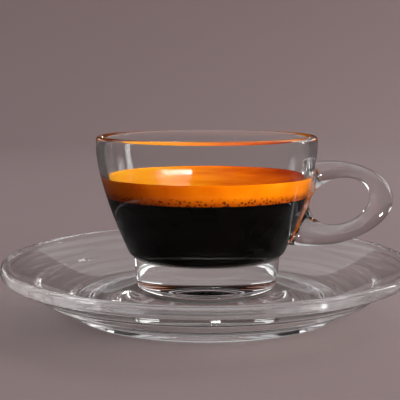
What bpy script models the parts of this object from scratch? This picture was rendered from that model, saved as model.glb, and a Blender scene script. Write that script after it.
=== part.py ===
# An espresso shot in a clear pressed-glass cup, standing on its clear glass saucer.
# Metres, +Z up. The origin is on the cup's axis, at the surface that the saucer rests on,
# and the handle points along +X.

import math

import bmesh
import bpy
from mathutils import Vector
from mathutils.geometry import interpolate_bezier

MM = 0.001
SEGMENTS = 56          # sides of every turned piece, so that neighbours' flats line up
SURFACE_GAP = 0.3      # mm left between pieces that touch

# Saucer, in mm
SAUCER_RADIUS = 60.66
SAUCER_HEIGHT = 14.86
SEAT_HEIGHT = 5.8            # raised disc that the cup stands on
SEAT_RADIUS = 22.6
SEAT_EDGE = 1.2              # rounding of the disc's edge and of the floor beside it
DISH_FLOOR_HEIGHT = 3.9
DISH_FLOOR_RADIUS = 37.0
BEAD_THICKNESS = 3.1         # rounded edge all round the saucer
BASE_RING_INNER = 35.2       # flat ring underneath that meets the table
BASE_RING_OUTER = 40.4
BASE_RECESS_HEIGHT = 1.6
UNDERSIDE_SLOPE = 0.553      # of the cone that the underside's rings reach down to
UNDERSIDE_CURVE = 0.0022
# Rings stepped into the underside: radius, height above that cone, riser's run and height
BASE_RISER = (1.6, 2.3)
RINGS = (
    (45.5, 0.7, 0.8, 1.1),
    (50.0, 0.0, 1.6, 2.4),
    (55.0, 0.7, 0.8, 1.1),
)

# Cup, in mm
RIM_RADIUS = 32.55
CUP_TOP = 51.33
RIM_WALL = 2.25
RIM_STRAIGHT_FROM = 48.0     # height where the outside becomes upright
BOWL_FOOT_RADIUS = 23.2      # where the bowl turns under, just above the foot
BOWL_FOOT = 16.7
FOOT_TOP_RADIUS = 21.9
FOOT_TOP = 16.0
FOOT_TOP_FILLET = 0.6
FOOT_BOTTOM_RADIUS = 20.9
FOOT_EDGE = 2.1              # rounding of the foot's lower edge
CUP_BOTTOM = SEAT_HEIGHT + SURFACE_GAP
FOOT_RING_INNER = 15.6       # flat ring that the cup stands on
FOOT_RECESS = 0.4
PUNT_RADIUS = 8.6            # shallow dome pressed up into the foot's middle
PUNT_DEPTH = 1.6
BOWL_FLOOR = 16.8            # thick base under the drink
BOWL_FLOOR_RADIUS = 17.2
BOWL_CORNER = (21.0, 20.8)   # where the floor's curve meets the wall's

# Handle, in mm, drawn in the plane through the cup's axis
HOLE_CENTRE = (39.56, 31.65)
HOLE_HALF_LENGTH = 9.16
HOLE_HALF_HEIGHT = 6.82
HOLE_TILT = 0.32
HANDLE_TOP = (37.0, 43.75)
HANDLE_TIP = (55.45, 32.2)
HANDLE_BOTTOM = (31.0, 18.1)
HANDLE_BACK = (12.0, 31.0)   # inside the bowl, cut away there
HANDLE_HALF_WIDTH = 4.3
ROOT_FLARE = 1.3             # how much each side swells where it meets the bowl
ROOT_REACH = 4.6             # how far out from the bowl the swelling starts
ROOT_DEPTH = 1.1             # how far the handle runs into the wall
HANDLE_SECTIONS = 40
HANDLE_SIDES = 14

# Drink, in mm
CREMA_BOTTOM = 34.0
CREMA_TOP = 39.3
MENISCUS_RISE = 0.5
MENISCUS_REACH = 2.2


def clear_scene():
    for obj in list(bpy.data.objects):
        bpy.data.objects.remove(obj, do_unlink=True)


def finish_material(name, colour, roughness, transmission=0.0, ior=1.5):
    material = bpy.data.materials.new(name)
    material.use_nodes = True
    shader = material.node_tree.nodes["Principled BSDF"]
    shader.inputs["Base Color"].default_value = (*colour, 1.0)
    shader.inputs["Roughness"].default_value = roughness
    shader.inputs["Metallic"].default_value = 0.0
    shader.inputs["Transmission Weight"].default_value = transmission
    shader.inputs["IOR"].default_value = ior
    material.diffuse_color = (*colour, 1.0)
    return material


def curve_points(start, start_handle, end_handle, end, count):
    """Points along one cubic curve in the plane, both ends included."""
    knots = [Vector((*point, 0.0)) for point in (start, start_handle, end_handle, end)]
    return [(p.x, p.y) for p in interpolate_bezier(*knots, count)]


def rounded(corners, steps=2):
    """Replaces each (r, z, radius) corner by an arc that is tangent to both of its sides."""
    points = []
    for index, corner in enumerate(corners):
        if len(corner) == 2:
            points.append(corner)
            continue
        here = Vector(corner[:2])
        to_last = (Vector(corners[index - 1][:2]) - here).normalized()
        to_next = (Vector(corners[index + 1][:2]) - here).normalized()
        half = to_last.angle(to_next) / 2
        centre = here + (to_last + to_next).normalized() * (corner[2] / math.sin(half))
        first = here + to_last * (corner[2] / math.tan(half)) - centre
        last = here + to_next * (corner[2] / math.tan(half)) - centre
        sweep = first.angle(last)
        for step in range(steps + 1):
            share = step / steps
            weight = (math.sin((1 - share) * sweep), math.sin(share * sweep))
            point = centre + (first * weight[0] + last * weight[1]) / math.sin(sweep)
            points.append((point.x, point.y))
    return points


def turned(name, profile, material):
    """A solid of revolution about Z, from a profile that starts and ends on the axis."""
    bm = bmesh.new()
    verts = [bm.verts.new((r * MM, 0.0, z * MM)) for r, z in profile]
    edges = [bm.edges.new(pair) for pair in zip(verts, verts[1:])]
    bmesh.ops.spin(
        bm, geom=verts + edges, cent=(0, 0, 0), axis=(0, 0, 1),
        angle=2 * math.pi, steps=SEGMENTS, use_merge=True,
    )
    bmesh.ops.remove_doubles(bm, verts=bm.verts, dist=1e-7)
    bmesh.ops.recalc_face_normals(bm, faces=bm.faces)
    return add_object(name, bm, material)


def add_object(name, bm, material):
    mesh = bpy.data.meshes.new(name)
    bm.to_mesh(mesh)
    bm.free()
    mesh.materials.append(material)
    mesh.shade_smooth()
    mesh.set_sharp_from_angle(angle=math.radians(40))
    obj = bpy.data.objects.new(name, mesh)
    bpy.context.scene.collection.objects.link(obj)
    return obj


def underside_height(radius):
    """Height of the slightly curved cone that the underside's rings reach down to."""
    out = radius - BASE_RING_OUTER
    return UNDERSIDE_SLOPE * out + UNDERSIDE_CURVE * out * out


def saucer_profile():
    top = [
        (0.0, SEAT_HEIGHT),
        (SEAT_RADIUS, SEAT_HEIGHT, SEAT_EDGE),
        (SEAT_RADIUS + 2.0, DISH_FLOOR_HEIGHT, SEAT_EDGE),
    ]
    dish = curve_points(
        (DISH_FLOOR_RADIUS, DISH_FLOOR_HEIGHT), (DISH_FLOOR_RADIUS + 4.5, DISH_FLOOR_HEIGHT),
        (52.0, 10.2), (SAUCER_RADIUS - BEAD_THICKNESS + 0.2, SAUCER_HEIGHT - 1.0), 7,
    )
    bead_bottom = SAUCER_HEIGHT - BEAD_THICKNESS
    bead = [
        (SAUCER_RADIUS - 2.3, SAUCER_HEIGHT, 0.9),
        (SAUCER_RADIUS, SAUCER_HEIGHT, 1.35),
        (SAUCER_RADIUS, bead_bottom, 0.9),
    ]
    rings = []
    for radius, lift, run, rise in reversed(RINGS):
        crest = underside_height(radius) + lift
        rings.append((radius + run, crest + rise, 0.5))
        rings.append((radius, crest, 0.5))
    base = [
        (BASE_RING_OUTER + BASE_RISER[0], BASE_RISER[1], 0.8),
        (BASE_RING_OUTER, 0.0, 0.6),
        (BASE_RING_INNER, 0.0, 0.4),
        (BASE_RING_INNER - 1.2, BASE_RECESS_HEIGHT),
        (0.0, BASE_RECESS_HEIGHT),
    ]
    return rounded(top + dish + bead + rings + base)


def bowl_outside(count):
    """The bowl's outer curve, from just above the foot to the upright band under the rim."""
    return curve_points(
        (BOWL_FOOT_RADIUS, BOWL_FOOT), (30.0, 31.5),
        (RIM_RADIUS, 43.0), (RIM_RADIUS, RIM_STRAIGHT_FROM), count,
    )


def bowl_inside(count):
    """The bowl's inner curves, from the middle of its floor up to the rim."""
    corner = curve_points(
        (BOWL_FLOOR_RADIUS, BOWL_FLOOR), (BOWL_FLOOR_RADIUS + 2.0, BOWL_FLOOR),
        (BOWL_CORNER[0] - 0.9, BOWL_CORNER[1] - 2.0), BOWL_CORNER, 5,
    )
    inner = RIM_RADIUS - RIM_WALL
    wall = curve_points(BOWL_CORNER, (26.7, 29.4), (inner, 41.5), (inner, RIM_STRAIGHT_FROM), count)
    return [(0.0, BOWL_FLOOR)] + corner + wall[1:]


def cup_profile():
    rim = [
        (RIM_RADIUS - RIM_WALL, CUP_TOP, 1.0),
        (RIM_RADIUS, CUP_TOP, 1.15),
    ]
    foot = [
        (FOOT_TOP_RADIUS, FOOT_TOP, FOOT_TOP_FILLET),
        (FOOT_BOTTOM_RADIUS, CUP_BOTTOM, FOOT_EDGE),
        (FOOT_RING_INNER, CUP_BOTTOM),
        (FOOT_RING_INNER - FOOT_RECESS, CUP_BOTTOM + FOOT_RECESS),
    ]
    punt = []
    for step in range(6):
        share = 1 - step / 5
        rise = PUNT_DEPTH * (1 - share * share)
        punt.append((PUNT_RADIUS * share, CUP_BOTTOM + FOOT_RECESS + rise))
    return rounded(bowl_inside(9) + rim + bowl_outside(9)[::-1] + foot + punt)


def radius_at(outline, height):
    """Radius of an outline at a height, between its nearest points, and of its ends beyond them."""
    points = sorted(outline, key=lambda point: point[1])
    for (r0, z0), (r1, z1) in zip(points, points[1:]):
        if z0 <= height <= z1 and z1 > z0:
            return r0 + (r1 - r0) * (height - z0) / (z1 - z0)
    return points[0][0] if height < points[0][1] else points[-1][0]


def hole_distance(angle):
    """Distance from the hole's centre to its edge, in a direction in the handle's plane."""
    along = math.cos(angle - HOLE_TILT) / HOLE_HALF_LENGTH
    across = math.sin(angle - HOLE_TILT) / HOLE_HALF_HEIGHT
    return 1.0 / math.hypot(along, across)


def handle_outline():
    """Polar angle and distance from the hole's centre to the handle's outer edge, all round."""
    quarters = (
        (HANDLE_TIP, (HANDLE_TIP[0], 38.6), (47.2, HANDLE_TOP[1]), HANDLE_TOP),
        (HANDLE_TOP, (26.0, HANDLE_TOP[1]), (HANDLE_BACK[0], 40.5), HANDLE_BACK),
        (HANDLE_BACK, (HANDLE_BACK[0], 21.5), (20.0, HANDLE_BOTTOM[1]), HANDLE_BOTTOM),
        (HANDLE_BOTTOM, (44.0, HANDLE_BOTTOM[1]), (HANDLE_TIP[0], 25.2), HANDLE_TIP),
    )
    polar = []
    for quarter in quarters:
        for x, z in curve_points(*quarter, 33)[:-1]:
            dx, dz = x - HOLE_CENTRE[0], z - HOLE_CENTRE[1]
            polar.append((math.atan2(dz, dx) % (2 * math.pi), math.hypot(dx, dz)))
    return sorted(polar)


def edge_distance(polar, angle):
    """Distance to the handle's outer edge in one direction, from the nearest outline points."""
    turn = 2 * math.pi
    looped = [(polar[-1][0] - turn, polar[-1][1])] + polar + [(polar[0][0] + turn, polar[0][1])]
    for (a0, d0), (a1, d1) in zip(looped, looped[1:]):
        if a0 <= angle <= a1:
            return d0 + (d1 - d0) * (angle - a0) / (a1 - a0)
    return polar[0][1]


def root_flare(x, y, z, outside):
    """Extra half width where the handle nears the bowl, along a quarter of a circle."""
    clear = math.hypot(x, y) - radius_at(outside, z)
    if clear >= ROOT_REACH:
        return 0.0
    share = 1.0 - max(clear, 0.0) / ROOT_REACH
    return ROOT_FLARE * (1.0 - math.sqrt(1.0 - share * share))


def handle_ring(material):
    """The whole closed ring, of which the bowl hides the back part."""
    outside = bowl_outside(25)
    polar = handle_outline()
    bm = bmesh.new()
    rows = []
    for section in range(HANDLE_SECTIONS):
        angle = 2 * math.pi * section / HANDLE_SECTIONS
        near, far = hole_distance(angle), edge_distance(polar, angle)
        row = []
        for side in range(HANDLE_SIDES):
            turn = 2 * math.pi * side / HANDLE_SIDES
            reach = (near + far) / 2 - (far - near) / 2 * math.cos(turn)
            x = HOLE_CENTRE[0] + reach * math.cos(angle)
            z = HOLE_CENTRE[1] + reach * math.sin(angle)
            width = HANDLE_HALF_WIDTH + root_flare(x, 0.0, z, outside)
            row.append(bm.verts.new((x * MM, width * math.sin(turn) * MM, z * MM)))
        rows.append(row)
    for row, following in zip(rows, rows[1:] + rows[:1]):
        for side in range(HANDLE_SIDES):
            after = (side + 1) % HANDLE_SIDES
            bm.faces.new((row[side], row[after], following[after], following[side]))
    bmesh.ops.recalc_face_normals(bm, faces=bm.faces)
    return add_object("handle_ring", bm, material)


def add_boolean(obj, operation, other):
    modifier = obj.modifiers.new(operation.lower(), "BOOLEAN")
    modifier.operation = operation
    modifier.object = other


def make_cup():
    glass = finish_material("clear_cup_glass", (0.93, 0.96, 0.95), 0.02, transmission=1.0)
    cup = turned("cup", cup_profile(), glass)
    ring = handle_ring(glass)
    core = [(max(r - ROOT_DEPTH, 0.0), z) for r, z in bowl_outside(9)]
    core = [(0.0, FOOT_TOP - 8.0), (core[0][0] - 0.6, FOOT_TOP - 8.0)] + core + [(0.0, RIM_STRAIGHT_FROM)]
    bowl_core = turned("bowl_core", core, glass)
    for helper in (ring, bowl_core):
        helper.hide_render = True
        helper.display_type = "WIRE"
    add_boolean(ring, "DIFFERENCE", bowl_core)
    add_boolean(cup, "UNION", ring)


def make_saucer():
    glass = finish_material("clear_saucer_glass", (0.92, 0.95, 0.94), 0.03, transmission=1.0)
    turned("saucer", saucer_profile(), glass)


def drink_side(low, high):
    """The outline of the drink between two heights, a gap inside the bowl."""
    inside = bowl_inside(9)
    ends = [(-inside[1][0], inside[1][1])] + inside + [(inside[-1][0], inside[-1][1] + 1.0)]
    moved = []
    for before, here, after in zip(ends, ends[1:], ends[2:]):
        along = (Vector(after) - Vector(before)).normalized()
        moved.append((here[0] - along.y * SURFACE_GAP, here[1] + along.x * SURFACE_GAP))
    side = [point for point in moved if low < point[1] < high]
    if low > moved[0][1]:
        side.insert(0, (radius_at(moved[1:], low), low))
    else:
        side.insert(0, moved[0])
    return side + [(radius_at(moved[1:], high), high)]


def make_coffee():
    dark = finish_material("espresso_coffee", (0.035, 0.012, 0.006), 0.08)
    level = CREMA_BOTTOM - SURFACE_GAP
    turned("coffee", drink_side(BOWL_FLOOR, level) + [(0.0, level)], dark)


def make_crema():
    foam = finish_material("espresso_crema", (0.80, 0.30, 0.03), 0.25)
    side = drink_side(CREMA_BOTTOM, CREMA_TOP + MENISCUS_RISE)
    edge = side[-1][0]
    top = [
        (edge - MENISCUS_REACH * 0.35, CREMA_TOP + MENISCUS_RISE * 0.45),
        (edge - MENISCUS_REACH, CREMA_TOP),
        (0.0, CREMA_TOP),
    ]
    turned("crema", [(0.0, CREMA_BOTTOM)] + side + top, foam)


clear_scene()
make_saucer()
make_cup()
make_coffee()
make_crema()
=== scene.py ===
import math

import bmesh
import bpy
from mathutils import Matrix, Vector
from mathutils.geometry import interpolate_bezier


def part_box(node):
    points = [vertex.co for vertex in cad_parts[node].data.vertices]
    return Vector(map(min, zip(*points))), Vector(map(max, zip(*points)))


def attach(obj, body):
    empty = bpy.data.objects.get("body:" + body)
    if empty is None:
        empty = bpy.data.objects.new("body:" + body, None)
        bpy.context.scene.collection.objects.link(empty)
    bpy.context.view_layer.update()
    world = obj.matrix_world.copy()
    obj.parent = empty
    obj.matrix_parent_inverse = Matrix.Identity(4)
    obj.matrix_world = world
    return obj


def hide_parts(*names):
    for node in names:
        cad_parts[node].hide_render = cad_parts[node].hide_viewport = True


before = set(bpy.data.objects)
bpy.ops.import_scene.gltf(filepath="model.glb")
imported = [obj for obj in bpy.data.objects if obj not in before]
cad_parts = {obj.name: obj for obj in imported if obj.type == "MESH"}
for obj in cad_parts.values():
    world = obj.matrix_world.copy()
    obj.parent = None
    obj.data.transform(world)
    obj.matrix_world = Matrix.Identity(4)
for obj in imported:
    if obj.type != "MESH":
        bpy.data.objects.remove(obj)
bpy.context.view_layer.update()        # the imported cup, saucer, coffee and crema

mm = 0.001               # sizes are in mm and heights above the table, unless a note says otherwise
mergeDistance = 1e-6     # metres
roundingSteps = 8        # faces across a rounded corner
print("frame loaded:", sorted(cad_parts))


# Helpers

def linearColour(hexColour):
    channels = [int(hexColour[i:i + 2], 16) / 255 for i in (1, 3, 5)]
    return tuple(c / 12.92 if c <= 0.04045 else ((c + 0.055) / 1.055) ** 2.4 for c in channels) + (1.0,)


def addNode(tree, kind, settings=None, links=None):
    node = tree.nodes.new(kind)
    for key, value in (settings or {}).items():
        if isinstance(key, int) or key in node.inputs:
            node.inputs[key].default_value = value
        else:
            setattr(node, key, value)
    for key, source in (links or {}).items():
        tree.links.new(source, node.inputs[key])
    return node


def newMaterial(name):
    material = bpy.data.materials.new(name)
    material.use_nodes = True
    material.node_tree.nodes.clear()
    return material, material.node_tree


def colourRamp(tree, factor, stops):
    ramp = addNode(tree, "ShaderNodeValToRGB", links={"Fac": factor})
    elements = ramp.color_ramp.elements
    while len(elements) < len(stops):
        elements.new(0.5)
    for element, (position, colour) in zip(elements, stops):
        element.position = position
        element.color = linearColour(colour)
    return ramp.outputs["Color"]


def bezierPoints(start, startHandle, endHandle, end, count):
    knots = [Vector((*point[:2], 0.0)) for point in (start, startHandle, endHandle, end)]
    return [(p.x, p.y) for p in interpolate_bezier(*knots, count)]


def boxSize(node):
    low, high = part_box(node)
    return low / mm, high / mm


def finishPiece(name, bm, material, sharpAngle=None):
    mesh = bpy.data.meshes.new(name)
    bm.to_mesh(mesh)
    bm.free()
    mesh.materials.append(material)
    mesh.shade_smooth()
    if sharpAngle:
        mesh.set_sharp_from_angle(angle=math.radians(sharpAngle))
    piece = bpy.data.objects.new(name, mesh)
    bpy.context.scene.collection.objects.link(piece)
    return piece


def turnedMesh(profile, segments):
    # a third number on a profile point rounds that corner by so many mm along each side
    bm = bmesh.new()
    verts = [bm.verts.new((point[0] * mm, 0, point[1] * mm)) for point in profile]
    for pair in zip(verts, verts[1:]):
        bm.edges.new(pair)
    for vert, point in zip(verts, profile):
        if len(point) == 3:
            bmesh.ops.bevel(
                bm, geom=[vert], offset=point[2] * mm, offset_type="OFFSET", affect="VERTICES",
                segments=roundingSteps, profile=0.5, material=-1,
            )
    bmesh.ops.spin(
        bm, geom=bm.verts[:] + bm.edges[:], cent=(0, 0, 0), axis=(0, 0, 1),
        angle=2 * math.pi, steps=segments, use_merge=True,
    )
    bmesh.ops.remove_doubles(bm, verts=bm.verts, dist=mergeDistance)
    bmesh.ops.recalc_face_normals(bm, faces=bm.faces)
    return bm


def declare(piece, node):
    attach(piece, "root")
    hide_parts(node)


# Camera, fitted to the rims of the cup and the saucer

cameraFacts = {
    "place": (0.0, -0.2595, 0.066),   # metres
    "tiltDown": 7.462,                # degrees
    "focalPixels": 877.13,
    "imageWidth": 400,
    "cupAxisColumn": 206.75,          # pixel column of the cup's axis
    "sensorWidth": 36.0,
    "clip": (0.01, 20),               # metres
}
lens = bpy.data.cameras.new("photoCamera")
lens.sensor_width = cameraFacts["sensorWidth"]
lens.lens = cameraFacts["focalPixels"] / cameraFacts["imageWidth"] * lens.sensor_width
lens.shift_x = (cameraFacts["imageWidth"] / 2 - cameraFacts["cupAxisColumn"]) / cameraFacts["imageWidth"]
lens.clip_start, lens.clip_end = cameraFacts["clip"]
camera = bpy.data.objects.new("photoCamera", lens)
camera.location = cameraFacts["place"]
camera.rotation_euler = (math.radians(90 - cameraFacts["tiltDown"]), 0, 0)
bpy.context.scene.collection.objects.link(camera)
bpy.context.scene.camera = camera
print("camera placed")


# Clear pressed glass

glassFacts = {
    "ior": 1.5,                 # soda lime glass
    "roughness": 0.0,
    "shine": 0.2,
    "tint": "#fbfdfc",
    "shadowTint": "#eef2f0",
    "wavePitch": 9.0,           # between the slow waves that a mould leaves
    "waveDepth": 0.012,
}


def pressedGlass(name, waveShift):
    # soda lime glass pressed in a mould and fire polished: clear and mirror smooth, with faint slow waves
    material, tree = newMaterial(name)
    place = addNode(tree, "ShaderNodeTexCoord").outputs["Object"]
    shifted = addNode(tree, "ShaderNodeMapping", {"Location": (waveShift, 0, 0)}, {"Vector": place})
    waves = addNode(
        tree, "ShaderNodeTexNoise",
        {"Scale": 1 / (glassFacts["wavePitch"] * mm), "Detail": 1.0, "Roughness": 0.4},
        {"Vector": shifted.outputs["Vector"]},
    )
    bump = addNode(
        tree, "ShaderNodeBump",
        {"Strength": 1.0, "Distance": glassFacts["waveDepth"] * mm},
        {"Height": waves.outputs["Fac"]},
    )
    glass = addNode(
        tree, "ShaderNodeBsdfPrincipled",
        {
            "Base Color": linearColour(glassFacts["tint"]), "Roughness": glassFacts["roughness"],
            "IOR": glassFacts["ior"], "Transmission Weight": 1.0,
            "Specular IOR Level": glassFacts["shine"],
        },
        {"Normal": bump.outputs["Normal"]},
    )
    passing = addNode(tree, "ShaderNodeBsdfTransparent", {"Color": linearColour(glassFacts["shadowTint"])})
    rays = addNode(tree, "ShaderNodeLightPath")
    mix = addNode(
        tree, "ShaderNodeMixShader",
        links={0: rays.outputs["Is Shadow Ray"], 1: glass.outputs[0], 2: passing.outputs[0]},
    )
    addNode(tree, "ShaderNodeOutputMaterial", links={"Surface": mix.outputs[0]})
    return material


# Saucer: smooth dish above, rings stepped into the underside

saucerReach = boxSize("saucer")[1]
saucer = {
    "radius": saucerReach.x,
    "height": saucerReach.z,
    "seat": (20.5, 5.8),          # radius and height of the flat that the cup stands on
    "seatFoot": 33.0,             # radius where the slope round it ends
    "slopePoints": 16,
    "floorHeight": 3.9,
    "floorRadius": 37.0,
    "floorRunOut": 4.5,           # how far the floor runs on before it rises
    "dishPull": (52.0, 10.2),     # radius and height that the rising curve leans towards
    "dishPoints": 28,
    "beadThickness": 3.1,
    "beadFoot": (2.9, 1.0),       # in from the rim and down from the top, where the dish meets the bead
    "beadInset": 2.3,
    "beadRoundings": (0.7, 1.3, 1.1),
    "baseRing": (35.2, 40.4),     # inner and outer radius
    "baseRounding": 0.6,
    "baseRecess": 1.6,
    "recessSlope": 1.2,
    "recessRounding": 0.4,
    "baseRiser": (1.6, 2.3),      # how far out and up the first ring starts
    "slope": 0.553,               # of the cone that the rings reach down to
    "curve": 0.0022,
    # radius, lift off the cone, and how far each ring's step runs out and rises
    "rings": ((45.5, 0.6, 2.0, 1.0), (50.0, 0.0, 2.0, 2.2), (55.0, 0.6, 2.0, 1.0)),
    "ringRounding": 1.1,
    "waveShift": 0.0,             # metres
    "segments": 288,
}


def saucerProfile(s):
    rim, top, seatRadius, seatHeight = s["radius"], s["height"], *s["seat"]
    slopeThird = (s["seatFoot"] - seatRadius) / 3
    profile = [(0, seatHeight)] + bezierPoints(
        (seatRadius, seatHeight), (seatRadius + slopeThird, seatHeight),
        (s["seatFoot"] - slopeThird, s["floorHeight"]), (s["seatFoot"], s["floorHeight"]), s["slopePoints"],
    )
    profile += bezierPoints(
        (s["floorRadius"], s["floorHeight"]), (s["floorRadius"] + s["floorRunOut"], s["floorHeight"]),
        s["dishPull"], (rim - s["beadFoot"][0], top - s["beadFoot"][1]), s["dishPoints"],
    )
    inside, outside, under = s["beadRoundings"]
    profile += [
        (rim - s["beadInset"], top, inside), (rim, top, outside), (rim, top - s["beadThickness"], under),
    ]
    ringInner, ringOuter = s["baseRing"]
    for radius, lift, run, rise in reversed(s["rings"]):
        out = radius - ringOuter
        crest = s["slope"] * out + s["curve"] * out * out + lift
        profile += [(radius + run, crest + rise, s["ringRounding"]), (radius, crest, s["ringRounding"])]
    profile += [
        (ringOuter + s["baseRiser"][0], s["baseRiser"][1], s["baseRounding"]),
        (ringOuter, 0, s["baseRounding"]), (ringInner, 0, s["recessRounding"]),
        (ringInner - s["recessSlope"], s["baseRecess"], s["recessRounding"]), (0, s["baseRecess"]),
    ]
    return profile


saucerMaterial = pressedGlass("saucerPressedGlass", saucer["waveShift"])
saucerMesh = turnedMesh(saucerProfile(saucer), saucer["segments"])
saucerGlass = finishPiece("saucerGlass", saucerMesh, saucerMaterial)
declare(saucerGlass, "saucer")
print("saucer:", len(saucerGlass.data.polygons), "faces")


# Cup: thick upright foot, flared bowl, rounded rim and a ring handle

cupLow, cupHigh = boxSize("cup")
cup = {
    "rimRadius": cupHigh.y,
    "top": cupHigh.z,
    "bottom": cupLow.z,
    "rimWall": 2.25,
    "rimRoundings": (1.05, 1.1),      # inside and outside
    "uprightFrom": 48.0,
    "outsidePulls": ((30.0, 31.5), 43.0),   # what the bowl's outside leans towards, low and high
    "insidePulls": ((26.7, 29.4), 41.5),
    "bowlFoot": (23.2, 16.7, 0.45),   # where the bowl turns under, and how round
    "footTop": (21.9, 16.0, 0.7),
    "footBottomRadius": 20.9,
    "footEdge": 1.5,
    "footRingInner": 15.6,
    "footRingRounding": 0.3,
    "footRecess": 0.4,
    "puntRadius": 8.6,
    "puntDepth": 1.6,
    "puntSteps": 12,
    "bowlFloor": 16.8,
    "bowlFloorRadius": 17.2,
    "bowlCorner": (21.0, 20.8),
    "cornerPulls": (2.0, (0.9, 2.0)),   # how far floor and corner run on into the curve between them
    "curvePoints": 24,
    "sharpAngle": 50,                 # degrees
    "waveShift": 0.31,                # metres, so that its waves differ from the saucer's
    "segments": 256,
}


def bowlOutside(count):
    rim = cup["rimRadius"]
    low, high = cup["outsidePulls"]
    return bezierPoints(cup["bowlFoot"], low, (rim, high), (rim, cup["uprightFrom"]), count)


def bowlInside():
    corner, inner, count = cup["bowlCorner"], cup["rimRadius"] - cup["rimWall"], cup["curvePoints"]
    start = (cup["bowlFloorRadius"], cup["bowlFloor"])
    runOut, (back, down) = cup["cornerPulls"]
    floorEnd = (start[0] + runOut, start[1])
    turnUp = bezierPoints(start, floorEnd, (corner[0] - back, corner[1] - down), corner, count)
    low, high = cup["insidePulls"]
    wall = bezierPoints(corner, low, (inner, high), (inner, cup["uprightFrom"]), count)
    return [(0, cup["bowlFloor"])] + turnUp + wall[1:]


def cupProfile():
    bottom, rim, inner = cup["bottom"], cup["rimRadius"], cup["rimRadius"] - cup["rimWall"]
    recess = bottom + cup["footRecess"]
    profile = bowlInside()
    profile += [(inner, cup["top"], cup["rimRoundings"][0]), (rim, cup["top"], cup["rimRoundings"][1])]
    profile += bowlOutside(cup["curvePoints"])[:0:-1] + [cup["bowlFoot"], cup["footTop"]]
    profile += [
        (cup["footBottomRadius"], bottom, cup["footEdge"]),
        (cup["footRingInner"], bottom, cup["footRingRounding"]),
        (cup["footRingInner"] - cup["footRecess"], recess),
    ]
    for step in range(cup["puntSteps"] + 1):
        share = 1 - step / cup["puntSteps"]
        profile.append((cup["puntRadius"] * share, recess + cup["puntDepth"] * (1 - share * share)))
    return profile


handle = {
    "holeCentre": (39.56, 31.65),   # out and up from the cup's axis and the table
    "holeHalf": (9.16, 6.82),
    "holeTilt": 0.32,               # radians
    "top": (37.0, 43.75),           # four points on the outer edge
    "tip": (55.45, 32.2),
    "bottom": (31.0, 18.1),
    "back": (12.0, 31.0),           # inside the bowl, where it is cut away
    "topPulls": (47.2, 26.0),       # how far out and in the edge runs on through each of them
    "tipPulls": (38.6, 25.2),
    "bottomPulls": (44.0, 20.0),
    "backPulls": (40.5, 21.5),
    "edgePoints": 120,
    "halfWidth": 4.3,
    "rootFlare": 1.3,               # how much wider each side gets where it meets the bowl
    "rootReach": 4.6,
    "rootDepth": 1.1,               # how far the ring reaches into the bowl's wall
    "wallPoints": 60,
    "sections": 160,
    "sides": 48,
}


def outerEdgeDistances():
    h = handle
    top, tip, bottom, back = h["top"], h["tip"], h["bottom"], h["back"]
    quarters = (
        (tip, (tip[0], h["tipPulls"][0]), (h["topPulls"][0], top[1]), top),
        (top, (h["topPulls"][1], top[1]), (back[0], h["backPulls"][0]), back),
        (back, (back[0], h["backPulls"][1]), (h["bottomPulls"][1], bottom[1]), bottom),
        (bottom, (h["bottomPulls"][0], bottom[1]), (tip[0], h["tipPulls"][1]), tip),
    )
    polar = []
    for quarter in quarters:
        for x, z in bezierPoints(*quarter, h["edgePoints"])[:-1]:
            dx, dz = x - h["holeCentre"][0], z - h["holeCentre"][1]
            polar.append((math.atan2(dz, dx) % (2 * math.pi), math.hypot(dx, dz)))
    return sorted(polar)


def between(table, value):
    for (a0, b0), (a1, b1) in zip(table, table[1:]):
        if a0 <= value <= a1:
            return b0 + (b1 - b0) * (value - a0) / (a1 - a0)
    return table[0][1] if value < table[0][0] else table[-1][1]


def handleMesh():
    # a round section is spun into a ring about the hole, and each point is then moved out
    # to where it belongs between the hole's edge and the handle's
    h = handle
    turn, tube = 2 * math.pi, 0.25      # the ring starts with a radius of 1 round a tube of this radius
    wall = sorted((z, r) for r, z in bowlOutside(h["wallPoints"]))
    edges = outerEdgeDistances()
    edges = [(edges[-1][0] - turn, edges[-1][1])] + edges + [(edges[0][0] + turn, edges[0][1])]
    bm = bmesh.new()
    bmesh.ops.create_circle(bm, segments=h["sides"], radius=tube)
    bmesh.ops.translate(bm, verts=bm.verts, vec=(1, 0, 0))
    bmesh.ops.spin(
        bm, geom=bm.verts[:] + bm.edges[:], cent=(0, 0, 0), axis=(0, 1, 0),
        angle=turn, steps=h["sections"], use_merge=True,
    )
    for vert in bm.verts:
        angle = math.atan2(vert.co.z, vert.co.x)
        across, aside = (math.hypot(vert.co.x, vert.co.z) - 1) / tube, vert.co.y / tube
        along = math.cos(angle - h["holeTilt"]) / h["holeHalf"][0]
        over = math.sin(angle - h["holeTilt"]) / h["holeHalf"][1]
        near, far = 1 / math.hypot(along, over), between(edges, angle % turn)
        reach = (near + far) / 2 + (far - near) / 2 * across
        x = h["holeCentre"][0] + reach * math.cos(angle)
        z = h["holeCentre"][1] + reach * math.sin(angle)
        clear = abs(x) - between(wall, z)
        share = min(max(1 - clear / h["rootReach"], 0.0), 1.0)
        width = h["halfWidth"] + h["rootFlare"] * (1 - math.sqrt(1 - share * share))
        vert.co = Vector((x, width * aside, z)) * mm
    bmesh.ops.remove_doubles(bm, verts=bm.verts, dist=mergeDistance)
    bmesh.ops.recalc_face_normals(bm, faces=bm.faces)
    return bm


def applyBoolean(piece, operation, other):
    modifier = piece.modifiers.new(operation.lower(), "BOOLEAN")
    modifier.operation = operation
    modifier.object = other
    bpy.context.view_layer.update()
    graph = bpy.context.evaluated_depsgraph_get()
    made = bpy.data.meshes.new_from_object(piece.evaluated_get(graph))
    piece.modifiers.clear()
    old, piece.data = piece.data, made
    bpy.data.meshes.remove(old)
    bpy.data.objects.remove(other)


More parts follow.
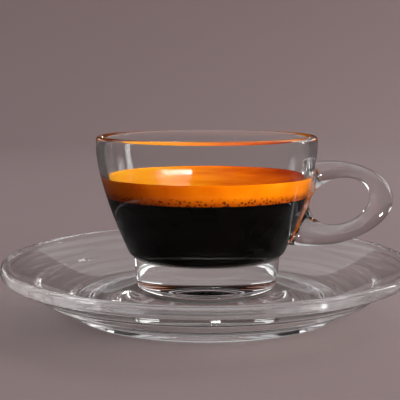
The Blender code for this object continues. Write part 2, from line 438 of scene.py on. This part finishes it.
cupMaterial = pressedGlass("cupPressedGlass", cup["waveShift"])
cupGlass = finishPiece("cupGlass", turnedMesh(cupProfile(), cup["segments"]), cupMaterial)
handleRing = finishPiece("handleRing", handleMesh(), cupMaterial)
core = {"bottom": 9.0, "taper": 0.6, "segments": 64}      # the bowl less the depth of the handle's root
coreSide = [(r - handle["rootDepth"], z) for r, z in bowlOutside(cup["curvePoints"])]
coreFoot = [(0, core["bottom"]), (coreSide[0][0] - core["taper"], core["bottom"])]
coreMesh = turnedMesh(coreFoot + coreSide + [(0, cup["uprightFrom"])], core["segments"])
bowlCore = finishPiece("bowlCore", coreMesh, cupMaterial)
applyBoolean(handleRing, "DIFFERENCE", bowlCore)
applyBoolean(cupGlass, "UNION", handleRing)
cupGlass.data.shade_smooth()
cupGlass.data.set_sharp_from_angle(angle=math.radians(cup["sharpAngle"]))
declare(cupGlass, "cup")
print("cup:", len(cupGlass.data.polygons), "faces")


# Drink

drink = {
    "intoWall": 0.12,           # how far the liquid reaches into the glass, so that no air gap shows
    "wallBeyond": 2,            # how far above a layer its wall is followed, so that its edge can be placed
    "level": 34.0,              # where the crema starts
    "layerGap": 0.02,
    "cremaTop": 39.3,
    "meniscusRise": 0.5,
    "meniscusReach": 2.2,
    "dish": 0.1,                # how much higher the foam is at its edge than in the middle
    "dishPower": 4,             # flat in the middle, steeper near the glass
    "dishMiddle": 0.4,          # share of the dish that lies below cremaTop
    "dishSteps": 30,
    "waterIor": 1.33,
    "sharpAngle": 40,           # degrees
    "segments": 224,
}


def drinkSide(low, high):
    # the bowl's inside between two heights, moved into the wall along its normals
    inside = [point for point in bowlInside() if point[1] < high + drink["wallBeyond"]]
    ends = [(-inside[1][0], inside[1][1])] + inside
    side = []
    for before, here, after in zip(ends, ends[1:], ends[2:]):
        along = (Vector(after) - Vector(before)).normalized()
        side.append((here[0] + along.y * drink["intoWall"], here[1] - along.x * drink["intoWall"]))
    heights = [(z, r) for r, z in side[1:]]
    kept = [point for point in side if low < point[1] < high]
    start = [(between(heights, low), low)] if low > side[0][1] else []
    return start + kept + [(between(heights, high), high)]


coffeeFacts = {
    "cloudPitch": 14.0,         # between the slow changes of tone
    "clouds": [(0.3, "#070201"), (0.7, "#120502")],
    "roughness": 0.12,
    "ior": 1.34,
}


def darkCoffee():
    # brewed coffee in a thick layer: almost black with a brown cast, and where it touches the glass
    # light that comes at a low angle is thrown back in full, as it is between glass and a real liquid
    material, tree = newMaterial("darkCoffee")
    place = addNode(tree, "ShaderNodeTexCoord").outputs["Object"]
    clouds = addNode(
        tree, "ShaderNodeTexNoise", {"Scale": 1 / (coffeeFacts["cloudPitch"] * mm), "Detail": 3.0},
        {"Vector": place},
    )
    colour = colourRamp(tree, clouds.outputs["Fac"], coffeeFacts["clouds"])
    shader = addNode(
        tree, "ShaderNodeBsdfPrincipled",
        {"Roughness": coffeeFacts["roughness"], "IOR": coffeeFacts["ior"], "Specular IOR Level": 0.0},
        {"Base Color": colour},
    )
    mirror = addNode(tree, "ShaderNodeBsdfGlossy", {"Roughness": 0.0, "Color": (1, 1, 1, 1)})
    grazing = addNode(tree, "ShaderNodeFresnel", {"IOR": drink["waterIor"] / glassFacts["ior"]})
    mix = addNode(
        tree, "ShaderNodeMixShader",
        links={0: grazing.outputs[0], 1: shader.outputs[0], 2: mirror.outputs[0]},
    )
    addNode(tree, "ShaderNodeOutputMaterial", links={"Surface": mix.outputs[0]})
    return material


cremaFacts = {
    "cloudPitch": 18.0,         # between the slow changes of tone
    "cloudRange": (0.25, 0.75),
    "cloudSpan": (0.40, 0.60),  # the part of the tones that the clouds' range is spread over
    "tones": [(0.28, "#a83400"), (0.4, "#dc6000"), (0.52, "#fd8e06"), (0.68, "#ffb02c")],
    # painted shade and light: the side is painted red brown at its left, where it lies in shade, and gold at
    # its right, where the light falls
    "sideShadeSpan": (-28, 26),      # from left to right, where the side's change of tone starts and ends
    "sidePaintedShade": (-0.10, 0.04),
    # painted light: the top is painted paler gold at its left, where its sheen falls, and redder towards its
    # right
    "topLightSpan": (-24, 24),
    "topPaintedLight": (0.16, -0.20),
    "upright": (0.3, 0.9),      # a normal's Z up to which a face is side, and from which it is top
    "browningDepth": 2.8,
    "browningStart": 0.85,
    "brown": "#9a3c00",
    "bubblePitch": 0.9,         # two or three times a real bubble, as finer ones don't show
    "pitEdge": (0.28, 0.43),    # in pitches from a bubble's middle, where its dark starts to fade and ends
    "pitDepth": 1.8,
    "pit": "#451200",
    "roughness": 0.45,
    "ior": 1.34,
    "skin": (0.17, 0.05, 1.33),   # how much there is of it, its roughness and its IOR
}


def goldenCrema():
    # wet coffee foam: a fine matt body under a thin oily skin that shines, its tone painted lighter and
    # darker across by where the light falls
    facts = cremaFacts
    material, tree = newMaterial("goldenCrema")
    place = addNode(tree, "ShaderNodeTexCoord").outputs["Object"]
    clouds = addNode(
        tree, "ShaderNodeTexNoise",
        {"Scale": 1 / (facts["cloudPitch"] * mm), "Detail": 5.0, "Distortion": 0.4}, {"Vector": place},
    )
    parts = addNode(tree, "ShaderNodeSeparateXYZ", links={"Vector": place})

    # painted light and shade: a tone shift from left to right across the foam
    def paintedLightAcross(span, lean):
        return addNode(
            tree, "ShaderNodeMapRange",
            {"From Min": span[0] * mm, "From Max": span[1] * mm, "To Min": lean[0], "To Max": lean[1]},
            {"Value": parts.outputs["X"]},
        )

    # painted light and shade: the side goes from red brown in shade to gold where it is lit, and the top the
    # other way, palest where its sheen falls
    sidePaintedShade = paintedLightAcross(facts["sideShadeSpan"], facts["sidePaintedShade"])
    topPaintedLight = paintedLightAcross(facts["topLightSpan"], facts["topPaintedLight"])
    normal = addNode(tree, "ShaderNodeTexCoord").outputs["Normal"]
    upright = addNode(tree, "ShaderNodeSeparateXYZ", links={"Vector": normal})
    facing = addNode(
        tree, "ShaderNodeMapRange",
        {"From Min": facts["upright"][0], "From Max": facts["upright"][1]}, {"Value": upright.outputs["Z"]},
    )
    across = addNode(
        tree, "ShaderNodeMix", {"data_type": "FLOAT"},
        {0: facing.outputs[0], 2: sidePaintedShade.outputs[0], 3: topPaintedLight.outputs[0]},
    )
    calmer = addNode(
        tree, "ShaderNodeMapRange",
        {
            "From Min": facts["cloudRange"][0], "From Max": facts["cloudRange"][1],
            "To Min": facts["cloudSpan"][0], "To Max": facts["cloudSpan"][1],
        },
        {"Value": clouds.outputs["Fac"]},
    )
    # the painted light and shade, added to the foam's random clouds of tone
    lean = addNode(tree, "ShaderNodeMath", {"operation": "ADD"}, {0: across.outputs[0], 1: calmer.outputs[0]})
    colour = colourRamp(tree, lean.outputs[0], facts["tones"])
    # towards the coffee the foam is browner and set with small dark bubbles
    browning = addNode(
        tree, "ShaderNodeMapRange",
        {
            "From Min": drink["level"] * mm, "From Max": (drink["level"] + facts["browningDepth"]) * mm,
            "To Min": facts["browningStart"], "To Max": 0.0, "interpolation_type": "SMOOTHSTEP",
        },
        {"Value": parts.outputs["Z"]},
    )
    bubbles = addNode(
        tree, "ShaderNodeTexVoronoi", {"Scale": 1 / (facts["bubblePitch"] * mm)}, {"Vector": place},
    )
    near, far = facts["pitEdge"]
    pits = addNode(
        tree, "ShaderNodeMapRange",
        {"From Min": near, "From Max": far, "To Min": facts["pitDepth"], "To Max": 0.0},
        {"Value": bubbles.outputs["Distance"]},
    )
    pitted = addNode(
        tree, "ShaderNodeMath", {"operation": "MULTIPLY"}, {0: pits.outputs[0], 1: browning.outputs[0]},
    )
    brown = addNode(
        tree, "ShaderNodeMix", {"data_type": "RGBA", 7: linearColour(facts["brown"])},
        {0: browning.outputs[0], 6: colour},
    )
    mixed = addNode(
        tree, "ShaderNodeMix", {"data_type": "RGBA", 7: linearColour(facts["pit"])},
        {0: pitted.outputs[0], 6: brown.outputs[2]},
    )
    weight, roughness, ior = facts["skin"]
    shader = addNode(
        tree, "ShaderNodeBsdfPrincipled",
        {
            "Roughness": facts["roughness"], "IOR": facts["ior"], "Specular IOR Level": 0.0,
            "Coat Weight": weight, "Coat Roughness": roughness, "Coat IOR": ior,
        },
        {"Base Color": mixed.outputs[2]},
    )
    addNode(tree, "ShaderNodeOutputMaterial", links={"Surface": shader.outputs[0]})
    return material


coffeeProfile = drinkSide(0, drink["level"]) + [(0, drink["level"])]
coffeeMesh = turnedMesh(coffeeProfile, drink["segments"])
coffeeLiquid = finishPiece("coffeeLiquid", coffeeMesh, darkCoffee(), drink["sharpAngle"])
declare(coffeeLiquid, "coffee")

cremaBottom = drink["level"] + drink["layerGap"]
cremaSide = drinkSide(cremaBottom, drink["cremaTop"] + drink["meniscusRise"])
cremaEdge = cremaSide[-1][0]
cremaFlat = cremaEdge - drink["meniscusReach"]


def cremaHeight(r):
    share = (r / cremaFlat) ** drink["dishPower"]
    return drink["cremaTop"] + drink["dish"] * (share - drink["dishMiddle"])


# what the curve down from the glass leans towards: in from the glass, and up from the foam's own height
meniscus = {
    "steepPull": (0.7, 0.1),
    "flatPull": (1.3, 0.06),
    "flatFrom": 0.5,              # how far inside the curve's end the height for flatPull is taken
    "points": 10,
}
steep, flat = meniscus["steepPull"], meniscus["flatPull"]
meniscusLine = bezierPoints(
    cremaSide[-1], (cremaEdge - steep[0], cremaHeight(cremaFlat) + steep[1]),
    (cremaEdge - flat[0], cremaHeight(cremaFlat - meniscus["flatFrom"]) + flat[1]),
    (cremaFlat, cremaHeight(cremaFlat)), meniscus["points"],
)
cremaProfile = [(0, cremaBottom)] + cremaSide + meniscusLine[1:]
for step in range(drink["dishSteps"] - 1, -1, -1):
    radius = cremaFlat * step / drink["dishSteps"]
    cremaProfile.append((radius, cremaHeight(radius)))
cremaMesh = turnedMesh(cremaProfile, drink["segments"])
cremaFoam = finishPiece("cremaFoam", cremaMesh, goldenCrema(), drink["sharpAngle"])
declare(cremaFoam, "crema")
print("drink:", len(coffeeLiquid.data.polygons) + len(cremaFoam.data.polygons), "faces")


# Studio: a plain pale cove and soft lamps

studio = {
    "floorRadius": 1.3,           # metres, and so are the next two
    "wallHeight": 0.8,
    "coveRounding": 0.6,
    "coveSteps": 24,
    "coveSegments": 96,
    "floorDrop": 0.1,             # how far the floor lies below the saucer
    "floorColour": "#c9b5b6",
    "floorMirrored": "#302a29",   # how dark gloss sees it
    "skyLow": "#85777b",          # towards the front
    "skyHigh": "#f2f0f3",         # above, behind and to the right
    "skyLean": (0.30, 0.6, 0.75),
    "skyHighFrom": 0.8,
    "skyStrength": 0.22,
    "skyInGlass": 0.65,           # how bright gloss and glass see it
    "aim": (0, 0, 0.03),          # metres, what the lamps point at
    "bounces": 80,                # light runs far round inside the saucer before it leaves
    "clearBounces": 24,
    "brightest": 24.0,            # cap on one bounced ray, against stray white dots
}
cove = bmesh.new()
coveCorners = ((0, 0), (studio["floorRadius"], 0), (studio["floorRadius"], studio["wallHeight"]))
coveVerts = [cove.verts.new((r, 0, z)) for r, z in coveCorners]
for pair in zip(coveVerts, coveVerts[1:]):
    cove.edges.new(pair)
bmesh.ops.bevel(
    cove, geom=[coveVerts[1]], offset=studio["coveRounding"], offset_type="OFFSET", affect="VERTICES",
    segments=studio["coveSteps"], profile=0.5, material=-1,
)
bmesh.ops.spin(
    cove, geom=cove.verts[:] + cove.edges[:], cent=(0, 0, 0), axis=(0, 0, 1),
    angle=2 * math.pi, steps=studio["coveSegments"], use_merge=True,
)
bmesh.ops.remove_doubles(cove, verts=cove.verts, dist=1e-5)
bmesh.ops.recalc_face_normals(cove, faces=cove.faces)
bmesh.ops.translate(cove, verts=cove.verts, vec=(0, 0, -studio["floorDrop"] * mm))
# matt emulsion paint, rolled on: plain and even with a dull sheen. The first surface that mirrors it
# shows it darker, so that the drink keeps its depth behind the glass
coveMaterial, tree = newMaterial("paleStudioPaint")
mirrored = addNode(
    tree, "ShaderNodeMath", {"operation": "COMPARE", 1: 1.0, 2: 0.5},
    {0: addNode(tree, "ShaderNodeLightPath").outputs["Glossy Depth"]},
)
floorTone = addNode(
    tree, "ShaderNodeMix",
    {"data_type": "RGBA", 6: linearColour(studio["floorColour"]), 7: linearColour(studio["floorMirrored"])},
    {0: mirrored.outputs[0]},
)
paint = addNode(
    tree, "ShaderNodeBsdfPrincipled", {"Roughness": 0.6, "Specular IOR Level": 0.2},
    {"Base Color": floorTone.outputs[2]},
)
addNode(tree, "ShaderNodeOutputMaterial", links={"Surface": paint.outputs[0]})
studioCove = finishPiece("studioCove", cove, coveMaterial)

world = bpy.data.worlds.new("softStudio")
bpy.context.scene.world = world
world.use_nodes = True
tree = world.node_tree
direction = addNode(tree, "ShaderNodeTexCoord").outputs["Generated"]
rising = addNode(
    tree, "ShaderNodeVectorMath", {"operation": "DOT_PRODUCT", 1: studio["skyLean"]}, {0: direction},
).outputs["Value"]
sky = colourRamp(tree, rising, [(0.0, studio["skyLow"]), (studio["skyHighFrom"], studio["skyHigh"])])
tree.links.new(sky, tree.nodes["Background"].inputs["Color"])
skyRays = addNode(tree, "ShaderNodeLightPath").outputs["Is Diffuse Ray"]
strength = addNode(
    tree, "ShaderNodeMapRange", {"To Min": studio["skyInGlass"], "To Max": studio["skyStrength"]},
    {"Value": skyRays},
)
tree.links.new(strength.outputs["Result"], tree.nodes["Background"].inputs["Strength"])

# places and sizes in metres, powers in watts: a glint shows in gloss and glass only, a fill only lights,
# the crema's lamp lights the crema alone, and a shine is a glint that the saucer doesn't show
lamps = {
    "topSoftbox": {
        "place": (0.60, 0.50, 1.00), "size": (0.9, 0.9), "power": 5.0, "colour": "#fffdfa",
        "only": "fill",
    },
    "frontFill": {
        "place": (0.55, -0.70, 0.45), "size": (0.4, 0.4), "power": 1.0, "colour": "#fff4ea",
        "only": "fill",
    },
    "leftBack": {
        "place": (-0.52, 0.60, 0.18), "size": (0.42, 0.12), "power": 0.22, "colour": "#ffffff",
        "only": "glint",
    },
    "rightBack": {
        "place": (0.52, 0.60, 0.18), "size": (0.42, 0.12), "power": 0.30, "colour": "#ffffff",
        "only": "glint",
    },
    "rightStrip": {
        "place": (0.50, 0.20, 0.20), "size": (0.05, 0.34), "power": 0.4, "colour": "#ffffff",
        "only": "glint",
    },
    "frontPanel": {
        "place": (0.0, -0.90, 0.75), "size": (1.4, 0.5), "power": 2.2, "colour": "#ffffff",
        "only": "glint",
    },
    "cremaLamp": {
        "place": (0.28, -0.39, 0.30), "size": (0.20, 0.20), "power": 4.9, "colour": "#fff0d8",
        "only": "crema",
    },
    "backLamp": {
        "place": (-0.035, 0.515, 0.0845), "size": (0.036, 0.006), "power": 0.17, "colour": "#fffaf4",
        "only": "shine",
    },
}
receivers = {"crema": [cremaFoam], "shine": [cremaFoam, cupGlass]}
for lampName, lamp in lamps.items():
    light = bpy.data.lights.new(lampName, "AREA")
    light.shape = "RECTANGLE"
    light.size, light.size_y = lamp["size"]
    light.energy = lamp["power"]
    light.color = linearColour(lamp["colour"])[:3]
    lampObject = bpy.data.objects.new(lampName, light)
    lampObject.location = lamp["place"]
    towards = Vector(studio["aim"]) - Vector(lamp["place"])
    lampObject.rotation_euler = towards.to_track_quat("-Z", "Y").to_euler()
    lampObject.visible_camera = False
    lampObject.visible_diffuse = lamp["only"] in ("fill", "crema")
    lampObject.visible_glossy = lampObject.visible_transmission = lamp["only"] in ("glint", "shine")
    if lamp["only"] in receivers:
        lit = bpy.data.collections.new(lampName + "Receivers")
        for piece in receivers[lamp["only"]]:
            lit.objects.link(piece)
        lampObject.light_linking.receiver_collection = lit
    bpy.context.scene.collection.objects.link(lampObject)

scene = bpy.context.scene
scene.view_settings.view_transform = "Standard"
scene.cycles.use_denoising = True
scene.cycles.max_bounces = studio["bounces"]
scene.cycles.glossy_bounces = studio["bounces"]
scene.cycles.transmission_bounces = studio["bounces"]
scene.cycles.transparent_max_bounces = studio["clearBounces"]
scene.cycles.sample_clamp_indirect = studio["brightest"]
print("studio lit")
